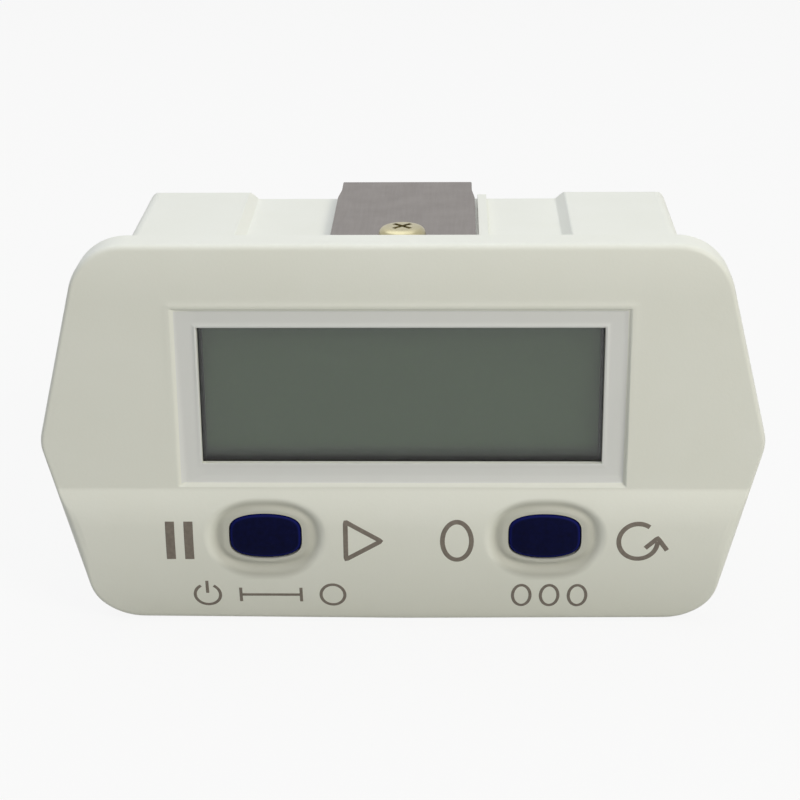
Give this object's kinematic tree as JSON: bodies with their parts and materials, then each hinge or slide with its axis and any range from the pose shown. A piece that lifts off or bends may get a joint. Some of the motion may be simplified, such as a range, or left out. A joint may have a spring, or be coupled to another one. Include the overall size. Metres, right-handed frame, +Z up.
{
  "type": "digital counter",
  "caption": "Battery counter for panel mounting: hexagonal bezel with display window and push buttons, box case, sliding battery door and steel panel clips.",
  "frame": {"origin": "middle of the panel seat, the rear face of the bezel", "axes": "+X to the right seen from the front, +Y to the rear through the panel, +Z up"},
  "size_m": [0.089, 0.0446, 0.0496],
  "materials": {
    "ivory_abs": "fine textured moulding",
    "clear_acrylic": "clear moulded window",
    "display_glass": "display glass",
    "display_film": "grey-green film",
    "black_plastic": "black moulding",
    "contact_rubber": "layered contact rubber",
    "grommet_rubber": "soft black rubber",
    "board_laminate": "green solder mask",
    "chip_ceramic": "chip component",
    "header_nylon": "white nylon",
    "plated_pin": "plated pin",
    "insert_brass": "turned brass",
    "tinned_steel": "plated steel",
    "clip_steel": "dull plated strip",
    "yellow_zinc": "yellow zinc plated",
    "navy_button": "dark blue moulding",
    "cell_sleeve": "printed sleeve"
  },
  "bodies": {
    "case": {"front_bezel": "ivory_abs", "rear_case": "ivory_abs", "window_lens": "clear_acrylic", "lcd_front_glass": "display_glass", "lcd_rear_glass": "display_glass", "lcd_front_polariser": "display_film", "lcd_reflector": "display_film", "lcd_holder": "black_plastic", "controller_blob": "black_plastic", "pause_switch_base": "black_plastic", "reset_switch_base": "black_plastic", "zebra_strips": "contact_rubber", "cable_grommet": "grommet_rubber", "main_board": "board_laminate", "chip_components": "chip_ceramic", "sensor_header": "header_nylon", "header_pins": "plated_pin", "clip_inserts": "insert_brass", "clock_crystal": "tinned_steel", "pause_switch_cover": "tinned_steel", "reset_switch_cover": "tinned_steel", "board_screws": "tinned_steel", "case_screws": "tinned_steel", "positive_contact": "tinned_steel", "negative_contact": "tinned_steel", "bridge_contact": "tinned_steel", "clip_screws": "yellow_zinc", "battery_upper": "cell_sleeve", "battery_lower": "cell_sleeve"},
    "pause_button": {"pause_button": "navy_button"},
    "reset_button": {"reset_button": "navy_button"},
    "pause_plunger": {"pause_switch_plunger": "black_plastic"},
    "reset_plunger": {"reset_switch_plunger": "black_plastic"},
    "top_clip": {"top_clip": "clip_steel"},
    "bottom_clip": {"bottom_clip": "clip_steel"},
    "battery_door": {"battery_door": "ivory_abs"}
  },
  "joints": [
    {"name": "pause_button_travel", "type": "slide", "parent": "case", "child": "pause_button", "axis": [0, 1, 0], "range_m": [0, 0.0005], "stiffness_N_per_m": 4000},
    {"name": "reset_button_travel", "type": "slide", "parent": "case", "child": "reset_button", "axis": [0, 1, 0], "range_m": [0, 0.0005], "stiffness_N_per_m": 4000},
    {"name": "pause_plunger_travel", "type": "slide", "parent": "case", "child": "pause_plunger", "axis": [0, 1, 0], "range_m": [0, 0.0005]},
    {"name": "reset_plunger_travel", "type": "slide", "parent": "case", "child": "reset_plunger", "axis": [0, 1, 0], "range_m": [0, 0.0005]},
    {"name": "top_clip_slide", "type": "slide", "parent": "case", "child": "top_clip", "axis": [0, 1, 0], "range_m": [-0.0015, 0.0025]},
    {"name": "bottom_clip_slide", "type": "slide", "parent": "case", "child": "bottom_clip", "axis": [0, 1, 0], "range_m": [-0.0015, 0.0025]},
    {"name": "battery_door_slide", "type": "slide", "parent": "case", "child": "battery_door", "axis": [-1, 0, 0], "range_m": [0, 0.054]}
  ],
  "couplings": [
    {"joint": "pause_plunger_travel", "follows": "pause_button_travel", "ratio": 1},
    {"joint": "reset_plunger_travel", "follows": "reset_button_travel", "ratio": 1}
  ]
}
